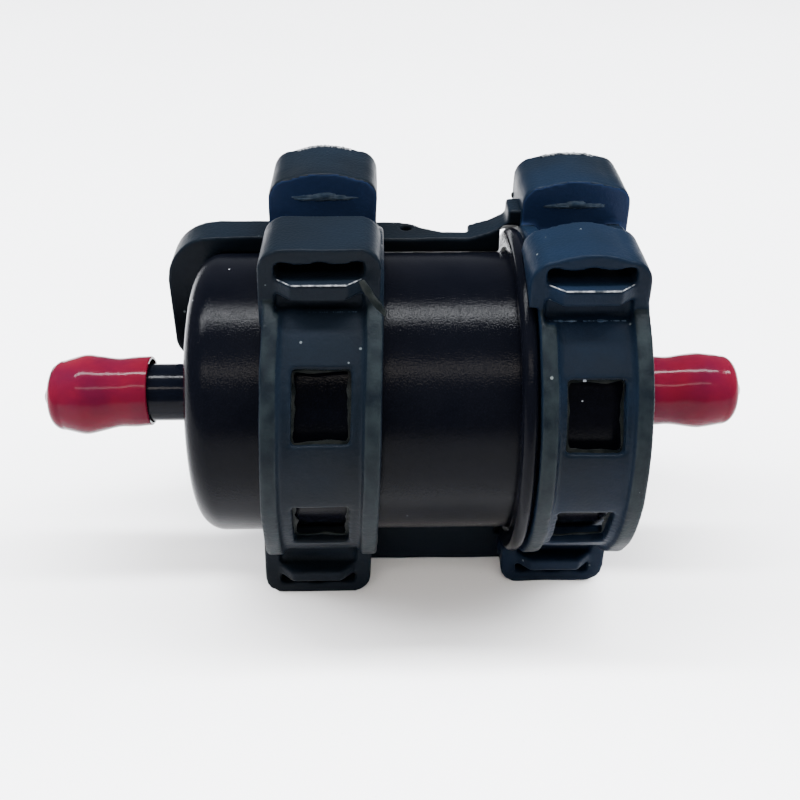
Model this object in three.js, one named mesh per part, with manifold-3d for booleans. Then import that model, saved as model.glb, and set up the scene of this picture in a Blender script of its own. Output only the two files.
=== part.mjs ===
// Inline fuel filter for a fuel-injected engine, held in a rubber cushion.
// A drawn steel can and a curled-on end cover hold a pleated paper element. A hose pipe stands out
// of each end under a vinyl dust cap. The cushion is one rubber moulding: two bands round the can,
// four slotted lugs on each band, and the bridges that join the bands.
// Millimetres, +Z up. The can's axis lies along X with the inlet at -X, and the front is at -Y.
// The origin is on the ground that the cushion's feet stand on, under the middle of the filter.
import * as THREE from 'three';
import { mergeVertices } from 'three/addons/utils/BufferGeometryUtils.js';
import Module from 'manifold-3d';

const wasm = await Module();
wasm.setup();

// ---- Driving dimensions ----
const AXIS_HEIGHT = 27.5; // can axis above the ground
const GAP = 0.3; // clearance between rubber and metal
const FIT = 0.05; // clearance between pieces pressed or sealed together
const PAST = 1; // a cutting tool runs this far past the face it cuts
const MAIN_SIDES = 36; // facets round the can and the bands
const PIPE_SIDES = 20; // facets round the pipes and their caps

const CAN = { radius: 19.25, wall: 0.8, corner: 3.3, left: -26.65, fillet: 0.6 };
const SEAM = {
  radius: 22.6, left: 15.1, right: 17.15, sheet: 0.55, canFlange: 0.6, gasket: 0.2,
  curl: 0.8, // radius of the rolled edge
  lip: 1.1, // the rolled edge comes down to this height above the can
};
const COVER = { corner: 3, right: 29.5, foot: 0.4 };
const PIPE = { radius: 4, bore: 3.1, bead: 0.35, beadWidth: 2, beadFromTip: 4.3, tip: 47.4 };
const PIPE_CHAMFER = 0.3;
const PIPE_INSIDE = 3; // the inlet pipe stands this far inside the can
const CAP = {
  bore: 4.45, wall: 0.42, length: 15.3, tip: 49.15, bulgeFromTip: 6.2,
  space: 0.12, // between the pipe's tip and the inside of the cap
  nub: { radius: 2.2, height: 1 }, // low cone left by the last drop
  inletSwell: 0.72, // how far each cap bulges over its pipe's bead
  outletSwell: 0.45,
};

const ELEMENT = {
  outer: 16.5, inner: 7.5, end: 18.6, pleats: 32, paper: 0.3,
  foldTip: 0.55, // half the width of an outer fold
  foldValley: 0.15, // and of an inner one
};
const PLATE = { radius: 17.3, sheet: 0.5, rim: 2.4, glue: 1.2, hole: 5.4 };
const TUBE = { outer: 7.1, inner: 6.5, hole: 1.2, rows: 5, holesRound: 6 };
const SEAL = { inside: 1, outside: 2, flange: 1.2 };
const SUPPORT = {
  thickness: 1.2, edgeRoom: 0.5, ribs: 6, rib: [8, 13.5], ribWidth: 1.2,
  hole: 1.9, // radius of each hole
  holeAt: 15, // and its distance from the axis
};
const CLIP = { width: 1.6, sheet: 0.2, angle: 45 };

const BAND = { inner: CAN.radius + GAP, waist: 21.9, rib: 22.8, ribWidth: 2, ribSlope: 0.4 };
const WINDOW = { width: 7.2, height: 9.2, angle: 24.5 };
const SLOT = { width: 10.7, height: 1.9, below: 1.9 };
const TONGUE = { length: 1.8, height: 2, base: 10.6, front: 6.8 };
const LUG_CORNER = 3;
const LUG_ROOT = 8; // lugs start inside the band at this height, and the can's room then cuts them
// A lug's top is its height from the axis and its shift moves it along X from the band's middle.
// A crown is how much higher the middle of its top is than the start of its corners.
const LEFT_BAND = {
  centre: -9.55, width: 14.8, turn: 4, lean: 0.035,
  lugs: {
    topFront: { front: -10.5, back: -0.7, top: 27.1, width: 14.9, shift: -0.5, crown: 0 },
    topBack: { front: 9, back: 19.6, top: 28.7, width: 14.6, shift: -0.85, crown: 0.9 },
    footFront: { front: -12, back: -1.5, top: AXIS_HEIGHT, width: 15.2, shift: -0.8, crown: 0 },
    footBack: { front: 9, back: 19.6, top: AXIS_HEIGHT, width: 14.6, shift: -0.8, crown: 0 },
  },
};
const RIGHT_BAND = {
  centre: 24.15, width: 13.6, turn: 0, lean: 0,
  lugs: {
    topFront: { front: -11.8, back: -2.2, top: 26.8, width: 14.7, shift: -0.75, crown: 0.9 },
    topBack: { front: 9, back: 19.9, top: 27.4, width: 14.8, shift: 0.65, crown: 0.7 },
    footFront: { front: -10.3, back: -1.5, top: AXIS_HEIGHT, width: 15, shift: -1.2, crown: 0 },
    footBack: { front: 9, back: 19.9, top: AXIS_HEIGHT, width: 14.8, shift: 0, crown: 0 },
  },
};
const SKIN = 0.8; // rubber that closes the front of the slot in each top back lug
const BRIDGE = {
  front: 9.5, back: 11.8, top: 18.9, under: 12,
  step: { back: 14, top: 21.2, run: 3.6 }, // raised part over the seam
  ear: { end: 5.5, back: 15.1, taper: 4, waist: 2.4, nose: 0.7, bottom: 14 },
  hole: { radius: 0.8, x: 1.75, y: 13.3 },
};
const FLAP = { left: -31.85, right: CAN.left - GAP, top: 19.2, bottom: 0, corner: 7 };
const SILL = { front: -5.4, back: -2, top: -20, bottom: -27 }; // lower bridge

// ---- Shape helpers ----
const radians = THREE.MathUtils.degToRad;

// A solid of revolution about X from a closed outline of [x, radius] points.
function turned(outline, sides = MAIN_SIDES) {
  const points = [...outline, outline[0]].map(([x, r]) => new THREE.Vector2(r, x));
  return facingOut(new THREE.LatheGeometry(points, sides).rotateZ(-Math.PI / 2));
}

// Turns every face round if the signed volume says that the faces point inwards.
function facingOut(geometry) {
  const merged = onlyPositions(geometry);
  const at = (i) => new THREE.Vector3().fromBufferAttribute(merged.attributes.position, merged.index.getX(i));
  let volume = 0;
  for (let i = 0; i < merged.index.count; i += 3) volume += at(i).dot(at(i + 1).cross(at(i + 2)));
  if (volume < 0) merged.index.array.reverse();
  return merged;
}

// The geometry with shared vertices merged, positions only, and no face of zero area.
function onlyPositions(geometry) {
  const bare = geometry.clone();
  bare.deleteAttribute('normal');
  bare.deleteAttribute('uv');
  const merged = mergeVertices(bare, 1e-4);
  const kept = [];
  for (let i = 0; i < merged.index.count; i += 3) {
    const corners = [0, 1, 2].map((k) => merged.index.getX(i + k));
    if (new Set(corners).size === 3) kept.push(...corners);
  }
  merged.setIndex(kept);
  return merged;
}

// An outline of [a, b] points as a shape, with holes.
function shapeOf(outline, holes = []) {
  const shape = new THREE.Shape(outline.map(([a, b]) => new THREE.Vector2(a, b)));
  shape.holes = holes.map((hole) => new THREE.Path(hole.map(([a, b]) => new THREE.Vector2(a, b))));
  return shape;
}

// An outline in X and Z made solid from y = front to y = back.
function alongY(outline, front, back) {
  const solid = new THREE.ExtrudeGeometry(shapeOf(outline), { depth: back - front, bevelEnabled: false });
  return facingOut(solid.rotateX(Math.PI / 2).translate(0, back, 0));
}

// An outline in X and Y made solid from z = bottom to z = top.
function alongZ(outline, bottom, top) {
  const solid = new THREE.ExtrudeGeometry(shapeOf(outline), { depth: top - bottom, bevelEnabled: false });
  return facingOut(solid.translate(0, 0, bottom));
}

function box(x, y, z) {
  const solid = new THREE.BoxGeometry(x[1] - x[0], y[1] - y[0], z[1] - z[0]);
  return onlyPositions(solid.translate((x[0] + x[1]) / 2, (y[0] + y[1]) / 2, (z[0] + z[1]) / 2));
}

// A round bar along X.
function bar(radius, from, to, sides = MAIN_SIDES) {
  return turned([[from, 0], [from, radius], [to, radius], [to, 0]], sides);
}

// A tube along X.
function ring(inner, outer, from, to, sides = MAIN_SIDES) {
  return turned([[from, inner], [from, outer], [to, outer], [to, inner]], sides);
}

// Points of an arc about [x, y], both ends included.
function arc([x, y], radius, fromDegrees, toDegrees, steps = 4) {
  return Array.from({ length: steps + 1 }, (_, i) => {
    const angle = radians(fromDegrees + ((toDegrees - fromDegrees) * i) / steps);
    return [x + radius * Math.cos(angle), y + radius * Math.sin(angle)];
  });
}

const mirrorX = (outline) => outline.map(([x, r]) => [-x, r]);

function toSolid(geometry) {
  const { position } = geometry.attributes;
  return new wasm.Manifold(new wasm.Mesh({
    numProp: 3,
    vertProperties: new Float32Array(position.array),
    triVerts: new Uint32Array(geometry.index.array),
  }));
}

function toGeometry(solid) {
  const mesh = solid.getMesh();
  const geometry = new THREE.BufferGeometry();
  geometry.setAttribute('position', new THREE.BufferAttribute(new Float32Array(mesh.vertProperties), 3));
  geometry.setIndex(new THREE.BufferAttribute(new Uint32Array(mesh.triVerts), 1));
  return geometry;
}

const join = (geometries) => geometries.map(toSolid).reduce((all, next) => all.add(next));
const cut = (solid, geometries) => geometries.map(toSolid).reduce((left, tool) => left.subtract(tool), solid);

// ---- Housing ----
const coverFlange = SEAM.right - SEAM.sheet;
const gasketLeft = coverFlange - FIT - SEAM.gasket;
const canFlangeLeft = gasketLeft - FIT - SEAM.canFlange;
const canFlangeRadius = SEAM.radius - SEAM.sheet - GAP;

function canBody() {
  const { radius, wall, corner, left, fillet } = CAN;
  const inside = corner - wall;
  return turned([
    [left, PIPE.radius + FIT],
    ...arc([left + corner, radius - corner], corner, 180, 90),
    ...arc([canFlangeLeft - fillet, radius + fillet], fillet, -90, 0, 2),
    [canFlangeLeft, canFlangeRadius],
    [canFlangeLeft + SEAM.canFlange, canFlangeRadius],
    [canFlangeLeft + SEAM.canFlange, radius - wall],
    ...arc([left + corner, radius - corner], inside, 90, 180),
    [left + wall, PIPE.radius + FIT],
  ]);
}

function endCover() {
  const { radius, wall } = CAN;
  const { corner, right, foot } = COVER;
  const { curl, lip } = SEAM;
  const lipRight = canFlangeLeft - FIT;
  const lipLeft = lipRight - SEAM.sheet;
  const curlMiddle = SEAM.radius - curl;
  return turned([
    [lipLeft, radius + lip],
    ...arc([lipLeft + curl, curlMiddle], curl, 180, 90, 3),
    ...arc([SEAM.right - curl, curlMiddle], curl, 90, 0, 3),
    ...arc([SEAM.right + foot, radius + foot], foot, 180, 270, 2),
    ...arc([right - corner, radius - corner], corner, 90, 0),
    [right, PIPE.radius + FIT],
    [right - wall, PIPE.radius + FIT],
    ...arc([right - corner, radius - corner], corner - wall, 0, 90),
    [coverFlange, radius - wall],
    [coverFlange, canFlangeRadius + FIT],
    [lipRight, canFlangeRadius + FIT],
    [lipRight, radius + lip],
  ]);
}

function seamGasket() {
  const edge = SEAM.gasket; // it stops this far inside both edges of the flange
  return ring(CAN.radius - CAN.wall + edge, canFlangeRadius - edge, gasketLeft, gasketLeft + SEAM.gasket);
}

// ---- Pipes and caps, drawn for the outlet at +X ----
function pipe(innerEnd) {
  const { radius, bore, bead, beadWidth, beadFromTip, tip } = PIPE;
  const beadMiddle = tip - beadFromTip;
  return [
    [innerEnd, bore],
    [innerEnd, radius],
    [beadMiddle - beadWidth / 2, radius],
    [beadMiddle - beadWidth / 4, radius + bead],
    [beadMiddle + beadWidth / 4, radius + bead],
    [beadMiddle + beadWidth / 2, radius],
    [tip - PIPE_CHAMFER, radius],
    [tip, radius - PIPE_CHAMFER],
    [tip, bore],
  ];
}

function brazeRing(face) {
  const inner = PIPE.radius + FIT;
  return [[face + FIT, inner], [face + 1, inner], [face + 0.35, inner + 0.4], [face + FIT, inner + 1.1]];
}

// A dip-moulded cap: a tight sleeve that bulges over the pipe's bead and ends in a small nub.
function cap(swell) {
  const { bore, wall, length, tip, bulgeFromTip, space, nub } = CAP;
  const open = tip - length;
  const bulge = tip - bulgeFromTip;
  const sleeve = bore + wall;
  const face = tip - nub.height;
  const inside = PIPE.tip + space;
  return [
    [open, bore],
    [open, sleeve],
    [bulge - 4.2, sleeve],
    [bulge - 1.7, sleeve + swell * 0.7],
    [bulge, sleeve + swell],
    [bulge + 2, sleeve + swell * 0.5],
    ...arc([face - 1.2, sleeve - 1.2], 1.2, 90, 0, 3),
    [face, nub.radius],
    [tip - nub.height * 0.3, nub.radius * 0.4],
    [tip, 0],
    [inside, 0],
    [inside, bore - 0.6],
    [inside - 0.6, bore],
  ];
}

// ---- Filter element ----
// Folded paper: the outer and inner outlines zigzag together, one paper thickness apart.
function pleatedPaper() {
  const { outer, inner, end, pleats, paper, foldTip, foldValley } = ELEMENT;
  const outside = [];
  const inside = [];
  const polar = (r, angle) => [r * Math.cos(angle), r * Math.sin(angle)];
  // The two ends of a fold at radius r, half its width on each side of the angle.
  const fold = (r, angle, half) => [polar(r, angle - half / r), polar(r, angle + half / r)];
  for (let i = 0; i < pleats; i += 1) {
    const tip = (i * 2 * Math.PI) / pleats;
    const valley = tip + Math.PI / pleats;
    outside.push(...fold(outer, tip, foldTip), ...fold(inner + paper, valley, foldValley));
    inside.push(...fold(outer - paper, tip, foldTip - paper), ...fold(inner, valley, foldValley + paper));
  }
  const solid = new THREE.ExtrudeGeometry(shapeOf(outside, [inside]), { depth: 2 * end, bevelEnabled: false });
  return facingOut(solid.translate(0, 0, -end).rotateY(Math.PI / 2));
}

// A pressed plate with a rim that turns in over the paper, drawn for the outlet end.
const plateInside = ELEMENT.end + FIT + PLATE.glue + FIT;

function endPlate(hole) {
  const { radius, sheet, rim } = PLATE;
  const inside = plateInside;
  return [
    [inside, hole],
    [inside, radius - sheet],
    [inside - rim, radius - sheet],
    [inside - rim, radius],
    [inside + sheet, radius],
    [inside + sheet, hole],
  ];
}

function glueBed() {
  const from = ELEMENT.end + FIT;
  const outer = PLATE.radius - PLATE.sheet - FIT;
  return [[from, TUBE.inner], [from, outer], [from + PLATE.glue, outer], [from + PLATE.glue, TUBE.inner]];
}

function centreTube() {
  const { outer, inner, hole, rows, holesRound } = TUBE;
  const wall = toSolid(ring(inner, outer, -ELEMENT.end, ELEMENT.end, PIPE_SIDES));
  const drills = [];
  for (let row = 0; row < rows; row += 1) {
    const x = ((row - (rows - 1) / 2) * 2 * ELEMENT.end) / rows;
    for (let i = 0; i < holesRound / 2; i += 1) {
      const drill = new THREE.CylinderGeometry(hole, hole, 3 * outer, 8);
      drills.push(onlyPositions(drill.rotateX((i * 2 * Math.PI) / holesRound + 0.1).translate(x, 0, 0)));
    }
  }
  return toGeometry(cut(wall, drills));
}

// A rubber ring that seals the element's open end plate on the outlet pipe.
function elementSeal() {
  const { inside, outside, flange } = SEAL;
  const inner = PIPE.radius + FIT;
  const neck = PLATE.hole - FIT;
  const face = plateInside + PLATE.sheet + FIT;
  return turned([
    [plateInside - inside, inner],
    [plateInside - inside, neck],
    [face, neck],
    [face, PLATE.hole + flange],
    [plateInside + outside, PLATE.hole + flange],
    [plateInside + outside, inner],
  ], PIPE_SIDES);
}

// A moulded disc that holds the element off the inlet end and lets the fuel past to its outside.
function supportPlate() {
  const { thickness, edgeRoom, ribs, rib, ribWidth, hole, holeAt } = SUPPORT;
  const right = -(plateInside + PLATE.sheet) - GAP;
  const left = right - thickness;
  const canFloor = CAN.left + CAN.wall + FIT;
  const parts = [ring(PIPE.radius + 1, CAN.radius - CAN.wall - edgeRoom, left, right)];
  const holes = [];
  for (let i = 0; i < ribs; i += 1) {
    const turn = (i * 2 * Math.PI) / ribs;
    const drill = bar(hole, left - PAST, right + PAST, 10).translate(0, holeAt, 0);
    parts.push(box([canFloor, left + 0.2], rib, [-ribWidth / 2, ribWidth / 2]).rotateX(turn));
    holes.push(drill.rotateX(turn + Math.PI / ribs));
  }
  return toGeometry(cut(join(parts), holes));
}

// A folded strip that clips the two ends of the paper together.
function paperClip() {
  const { outer, end } = ELEMENT;
  const { width, sheet, angle } = CLIP;
  const from = outer + FIT;
  const strip = box([-end + PLATE.rim, end - PLATE.rim], [-width / 2, width / 2], [from, from + sheet]);
  return strip.rotateX(radians(angle));
}

// ---- Rubber cushion ----
// Each band is drawn round the axis with its middle at x = 0.
function lugBlock({ front, back, top, width, shift, crown }) {
  const corner = LUG_CORNER;
  const side = width / 2;
  const shoulder = top - crown;
  const flat = side - corner;
  const crest = crown > 0 ? [0.5, 0, -0.5].map((t) => [t * flat, top - crown * t * t]) : [];
  return alongY([
    [-side, LUG_ROOT],
    [side, LUG_ROOT],
    ...arc([flat, shoulder - corner], corner, 0, 90),
    ...crest,
    ...arc([-flat, shoulder - corner], corner, 90, 180),
  ], front, back).translate(shift, 0, 0);
}

function slotTool(lug, front, back) {
  const top = lug.top - SLOT.below;
  const half = SLOT.width / 2;
  return box([-half, half], [front, back], [top - SLOT.height, top]).translate(lug.shift, 0, 0);
}

function tongueBlock(lug) {
  const top = lug.top - SLOT.below - SLOT.height;
  const front = lug.front - TONGUE.length;
  const outline = [
    [-TONGUE.base / 2, lug.front + 1],
    [-TONGUE.base / 2, lug.front],
    [-TONGUE.front / 2, front],
    [TONGUE.front / 2, front],
    [TONGUE.base / 2, lug.front],
    [TONGUE.base / 2, lug.front + 1],
  ];
  return alongZ(outline, top - TONGUE.height, top).translate(lug.shift, 0, 0);
}

function windowTool(angle) {
  const { width, height } = WINDOW;
  const depth = [-BAND.rib - 2 * PAST, -BAND.inner + 2 * PAST];
  const tool = box([-width / 2, width / 2], depth, [-height / 2, height / 2]);
  return tool.rotateX(-radians(angle));
}

// Puts a shape drawn for the top half into the lower half.
function below(geometry) {
  return facingOut(geometry.scale(1, 1, -1));
}

function bandSolid({ centre, width, turn, lean, lugs }) {
  const { inner, waist, rib, ribWidth, ribSlope } = BAND;
  const side = width / 2;
  const body = join([
    turned([
      [-side, inner], [-side, rib], [ribWidth - side, rib], [ribWidth + ribSlope - side, waist],
      [side - ribWidth - ribSlope, waist], [side - ribWidth, rib], [side, rib], [side, inner],
    ]),
    lugBlock(lugs.topFront),
    lugBlock(lugs.topBack),
    below(lugBlock(lugs.footFront)),
    below(lugBlock(lugs.footBack)),
    tongueBlock(lugs.topFront),
    below(tongueBlock(lugs.footFront)),
  ]);
  const shaped = cut(body, [
    bar(inner, -width, width),
    slotTool(lugs.topFront, lugs.topFront.front - PAST, lugs.topFront.back + PAST),
    slotTool(lugs.topBack, lugs.topBack.front + SKIN, lugs.topBack.back + PAST),
    below(slotTool(lugs.footFront, lugs.footFront.front - PAST, lugs.footFront.back + PAST)),
    below(slotTool(lugs.footBack, lugs.footBack.front - PAST, lugs.footBack.back + PAST)),
    windowTool(turn + WINDOW.angle),
    windowTool(turn - WINDOW.angle),
  ]);
  const leaning = new THREE.Matrix4().set(1, 0, lean, centre, 0, 1, 0, 0, 0, 0, 1, 0, 0, 0, 0, 1);
  return toSolid(toGeometry(shaped).applyMatrix4(leaning));
}

// The upper bridge runs behind the top of the can, steps over the seam, and turns down over the
// can's closed end as a flap. Its ear has a small hole.
function upperBridge() {
  const { front, back, top, under, step, ear, hole } = BRIDGE;
  const flapMiddle = (FLAP.left + FLAP.right) / 2;
  const flapHalf = (FLAP.right - FLAP.left) / 2;
  const strip = box([LEFT_BAND.centre, RIGHT_BAND.centre], [front, back], [under, top]);
  const overSeam = alongY([
    [SEAM.left - step.run, under], [RIGHT_BAND.centre, under], [RIGHT_BAND.centre, step.top],
    [SEAM.left, step.top], [SEAM.left - step.run, top],
  ], front, step.back);
  const flap = alongY([
    [LEFT_BAND.centre, under],
    [LEFT_BAND.centre, FLAP.top],
    ...arc([FLAP.left + FLAP.corner, FLAP.top - FLAP.corner], FLAP.corner, 90, 180),
    ...arc([flapMiddle, FLAP.bottom + flapHalf], flapHalf, 180, 360),
    [FLAP.right, under],
  ], front, ear.back);
  const earShape = alongZ([
    [LEFT_BAND.centre, front + PAST], [ear.end, front + PAST], [ear.end, back],
    [ear.end - ear.waist, ear.back - ear.nose], [ear.end - ear.taper, ear.back], [LEFT_BAND.centre, ear.back],
  ], ear.bottom, top);
  const drill = new THREE.CylinderGeometry(hole.radius, hole.radius, top, 10).rotateX(Math.PI / 2);
  return cut(join([strip, earShape, overSeam, flap]), [onlyPositions(drill.translate(hole.x, hole.y, top))]);
}

// The lower bridge runs along under the can.
function lowerBridge() {
  const { front, back, top, bottom } = SILL;
  return toSolid(box([LEFT_BAND.centre, RIGHT_BAND.centre], [front, back], [bottom, top]));
}

function rubberCushion() {
  const whole = [bandSolid(LEFT_BAND), bandSolid(RIGHT_BAND), upperBridge(), lowerBridge()]
    .reduce((all, next) => all.add(next));
  const right = RIGHT_BAND.centre + RIGHT_BAND.width;
  const canRoom = turned([
    [CAN.left - GAP, 0],
    ...arc([CAN.left + CAN.corner, CAN.radius - CAN.corner], CAN.corner + GAP, 180, 90),
    [right, BAND.inner],
    [right, 0],
  ]);
  return toGeometry(cut(whole, [
    canRoom,
    bar(SEAM.radius + GAP, SEAM.left - GAP, SEAM.right + GAP / 2),
  ]));
}

// ---- Assembly ----
const finish = {
  blackPaint: { color: 0x14161a, roughness: 0.35, metalness: 0.3 },
  plated: { color: 0x2a2c30, roughness: 0.4, metalness: 0.7 },
  brass: { color: 0x9a7b3a, roughness: 0.45, metalness: 0.8 },
  redVinyl: { color: 0xa8152b, roughness: 0.3, metalness: 0 },
  rubber: { color: 0x1b2029, roughness: 0.6, metalness: 0 },
  paper: { color: 0xd9c79a, roughness: 0.9, metalness: 0 },
  glue: { color: 0x3d4a3a, roughness: 0.5, metalness: 0 },
  tin: { color: 0xb9bcc0, roughness: 0.3, metalness: 0.9 },
  nylon: { color: 0xe4e2d8, roughness: 0.5, metalness: 0 },
};

const pieces = {
  can_body: [canBody(), 'blackPaint'],
  end_cover: [endCover(), 'blackPaint'],
  seam_gasket: [seamGasket(), 'rubber'],
  inlet_pipe: [turned(mirrorX(pipe(-CAN.left - PIPE_INSIDE)), PIPE_SIDES), 'plated'],
  outlet_pipe: [turned(pipe(ELEMENT.end - SEAL.inside), PIPE_SIDES), 'plated'],
  inlet_braze: [turned(mirrorX(brazeRing(-CAN.left)), PIPE_SIDES), 'brass'],
  outlet_braze: [turned(brazeRing(COVER.right), PIPE_SIDES), 'brass'],
  inlet_cap: [turned(mirrorX(cap(CAP.inletSwell)), PIPE_SIDES), 'redVinyl'],
  outlet_cap: [turned(cap(CAP.outletSwell), PIPE_SIDES), 'redVinyl'],
  pleated_paper: [pleatedPaper(), 'paper'],
  paper_clip: [paperClip(), 'tin'],
  centre_tube: [centreTube(), 'tin'],
  inlet_glue_bed: [turned(mirrorX(glueBed())), 'glue'],
  outlet_glue_bed: [turned(glueBed()), 'glue'],
  inlet_end_plate: [turned(mirrorX(endPlate(0))), 'tin'],
  outlet_end_plate: [turned(endPlate(PLATE.hole)), 'tin'],
  element_seal: [elementSeal(), 'rubber'],
  support_plate: [supportPlate(), 'nylon'],
  rubber_cushion: [rubberCushion(), 'rubber'],
};

const filter = new THREE.Group();
for (const [name, [geometry, look]] of Object.entries(pieces)) {
  const mesh = new THREE.Mesh(geometry, new THREE.MeshStandardMaterial(finish[look]));
  mesh.name = name;
  filter.add(mesh);
}
filter.position.z = AXIS_HEIGHT;

export default filter;
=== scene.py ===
# %% [markdown]
# # A fuel filter, piece by piece
# This lesson dresses a small inline fuel filter: a black steel can with a rolled seam, a hose pipe
# at each end under a red dust cap, and a rubber cushion with slotted lugs. The engineering model
# comes first and stays fixed, and every new piece is built in place around it.

# %% Load the fixed model
from math import cos, hypot, pi, radians, sin
import bmesh
import bpy
from mathutils import Matrix, Vector, noise


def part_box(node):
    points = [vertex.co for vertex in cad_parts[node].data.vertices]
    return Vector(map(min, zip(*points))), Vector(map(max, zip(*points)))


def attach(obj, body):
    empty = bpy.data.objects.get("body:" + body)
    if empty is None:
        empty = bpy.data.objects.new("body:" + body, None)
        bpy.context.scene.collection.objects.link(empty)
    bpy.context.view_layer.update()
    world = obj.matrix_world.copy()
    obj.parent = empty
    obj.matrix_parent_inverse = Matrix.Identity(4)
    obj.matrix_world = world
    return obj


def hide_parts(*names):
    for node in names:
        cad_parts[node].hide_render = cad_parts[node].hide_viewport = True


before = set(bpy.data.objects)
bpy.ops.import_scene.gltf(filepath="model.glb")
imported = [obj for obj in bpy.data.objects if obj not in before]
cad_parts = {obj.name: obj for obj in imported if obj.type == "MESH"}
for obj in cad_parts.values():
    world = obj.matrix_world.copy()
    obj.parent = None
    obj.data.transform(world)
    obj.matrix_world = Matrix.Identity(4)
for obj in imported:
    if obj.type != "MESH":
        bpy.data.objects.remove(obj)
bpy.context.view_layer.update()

# %% [markdown]
# ## Working units
# Blender counts in metres and the filter is drawn in millimetres round its own axis, so every
# outline below is in millimetres from the can's axis. One matrix puts a finished shape in place.
# The sizes that the fixed model already holds are read from its nodes, not typed again.

# %% Axis and the sizes taken from the model
MM = 0.001
can_low, can_high = (Vector(v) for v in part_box("can_body"))
cover_low, cover_high = (Vector(v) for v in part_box("end_cover"))
AXIS_Z = (can_low.z + can_high.z) / 2
TO_PLACE = Matrix.Translation((0, 0, AXIS_Z)) @ Matrix.Scale(MM, 4)
CAN_LEFT = can_low.x / MM
SEAM_LEFT = cover_low.x / MM
SEAM_RADIUS = (cover_high.z - cover_low.z) / 2 / MM
COVER_RIGHT = cover_high.x / MM
CAN_RADIUS = 19.25
print(f"axis {AXIS_Z / MM:.1f} mm up, can from {CAN_LEFT:.1f}, cover to {COVER_RIGHT:.1f} mm")

# %% [markdown]
# ## Camera
# A phone held close looks down on the filter from the front. The lens is near the normal length
# for the sensor, and at this distance the front of the cushion looks clearly larger than the back.

# %% Camera
def aim(thing, target):
    direction = Vector(target) - thing.location
    thing.rotation_euler = direction.to_track_quat("-Z", "Y").to_euler()


camera_data = bpy.data.cameras.new("close_camera")
camera_data.sensor_width = 36
camera_data.lens = 46.35
camera_data.clip_start = 0.005
camera = bpy.data.objects.new("close_camera", camera_data)
bpy.context.collection.objects.link(camera)
camera.location = (-0.00205, -0.1205, AXIS_Z + 0.0813)
aim(camera, (0.00077, -0.00083, AXIS_Z - 0.0011))
camera.rotation_euler.rotate_axis("Z", radians(0.3))
bpy.context.scene.camera = camera
print("camera at", [round(v, 4) for v in camera.location])

# %% [markdown]
# ## Light and floor
# Black shiny metal shows mostly what it reflects, so the lights are chosen by where they appear in
# the can. Two long lights run along it: a strong one above, and a weaker, warmer one over the
# camera. Each leaves one straight streak. Two broad lights far out to the sides brighten the floor.
# They leave no reflections of their own, so the caps show only the two streaks.

# %% Lights, surroundings and floor
def soft_light(name, place, size, watts, colour):
    """A rectangular light, wide along X, that faces the filter."""
    data = bpy.data.lights.new(name, "AREA")
    data.shape = "RECTANGLE"
    data.size, data.size_y = size
    data.energy, data.color = watts, colour
    light = bpy.data.objects.new(name, data)
    bpy.context.collection.objects.link(light)
    light.location = (place[0], place[1], AXIS_Z + place[2])
    aim(light, (0, 0, AXIS_Z))
    print(f"{name}: {watts} W")
    return light


def above(elevation, distance):
    """A place straight over the can, at an angle up from the front horizontal."""
    return (0, -distance * cos(radians(elevation)), distance * sin(radians(elevation)))


FLOOR_HALF = 1.5
WORLD_COLOUR, WORLD_STRENGTH = (0.88, 0.92, 1.0, 1), 0.45
DAYLIGHT = (0.97, 0.98, 1.0)
soft_light("top_strip", above(97, 0.6), (0.9, 0.06), 20.0, (0.95, 0.97, 1.0))
soft_light("front_strip", above(50, 0.7), (0.8, 0.06), 4.0, (1.0, 0.92, 0.84))
for name, side in (("side_left", -1), ("side_right", 1)):
    lamp = soft_light(name, (side * 1.1, 0.15, 0.85), (0.8, 0.8), 58.0, DAYLIGHT)
    lamp.visible_glossy = False

world = bpy.data.worlds.new("pale_room")
bpy.context.scene.world = world
world.use_nodes = True
background = world.node_tree.nodes["Background"]
background.inputs["Color"].default_value = WORLD_COLOUR
background.inputs["Strength"].default_value = WORLD_STRENGTH

bm = bmesh.new()
bmesh.ops.create_grid(bm, x_segments=2, y_segments=2, size=FLOOR_HALF)
floor_mesh = bpy.data.meshes.new("floor")
bm.to_mesh(floor_mesh)
bm.free()
floor = bpy.data.objects.new("floor", floor_mesh)
bpy.context.collection.objects.link(floor)

# %% [markdown]
# ## One shared surface effect
# Paint, rubber and vinyl differ in colour and gloss, but all of them have a fine grain, slow
# patches where the surface is a little duller, and a few pale specks of dust. One node group makes
# these from the place on the piece, and each material gives it its own values.

# %% The shared node group
def make_node(tree, kind, links=(), **values):
    """A node with its settings and socket values, linked from (socket, output) pairs."""
    made = tree.nodes.new(kind)
    for key, value in values.items():
        if key in made.inputs:
            made.inputs[key].default_value = value
        else:
            setattr(made, key, value)
    for socket, output in links:
        tree.links.new(output, made.inputs[socket])
    return made


SURFACE_INPUTS = (
    ("Main Colour", "NodeSocketColor", (0.02, 0.02, 0.02, 1)),
    ("Patch Colour", "NodeSocketColor", (0.03, 0.03, 0.03, 1)),
    ("Speck Colour", "NodeSocketColor", (0.3, 0.32, 0.35, 1)),
    ("Patch Scale", "NodeSocketFloat", 90.0),
    ("Grain Scale", "NodeSocketFloat", 5000.0),
    ("Speck Scale", "NodeSocketFloat", 700.0),
    ("Speck Size", "NodeSocketFloat", 0.1),
    ("Smoothest", "NodeSocketFloat", 0.3),
    ("Dullest", "NodeSocketFloat", 0.6),
)
SURFACE_OUTPUTS = (
    ("Colour", "NodeSocketColor"), ("Roughness", "NodeSocketFloat"), ("Height", "NodeSocketFloat"),
)
PATCH_EDGES = (0.35, 0.68)  # the noise values between which one colour turns into the other
SPECK_RARITY = 0.93  # the share of the cells that hold no speck


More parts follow.
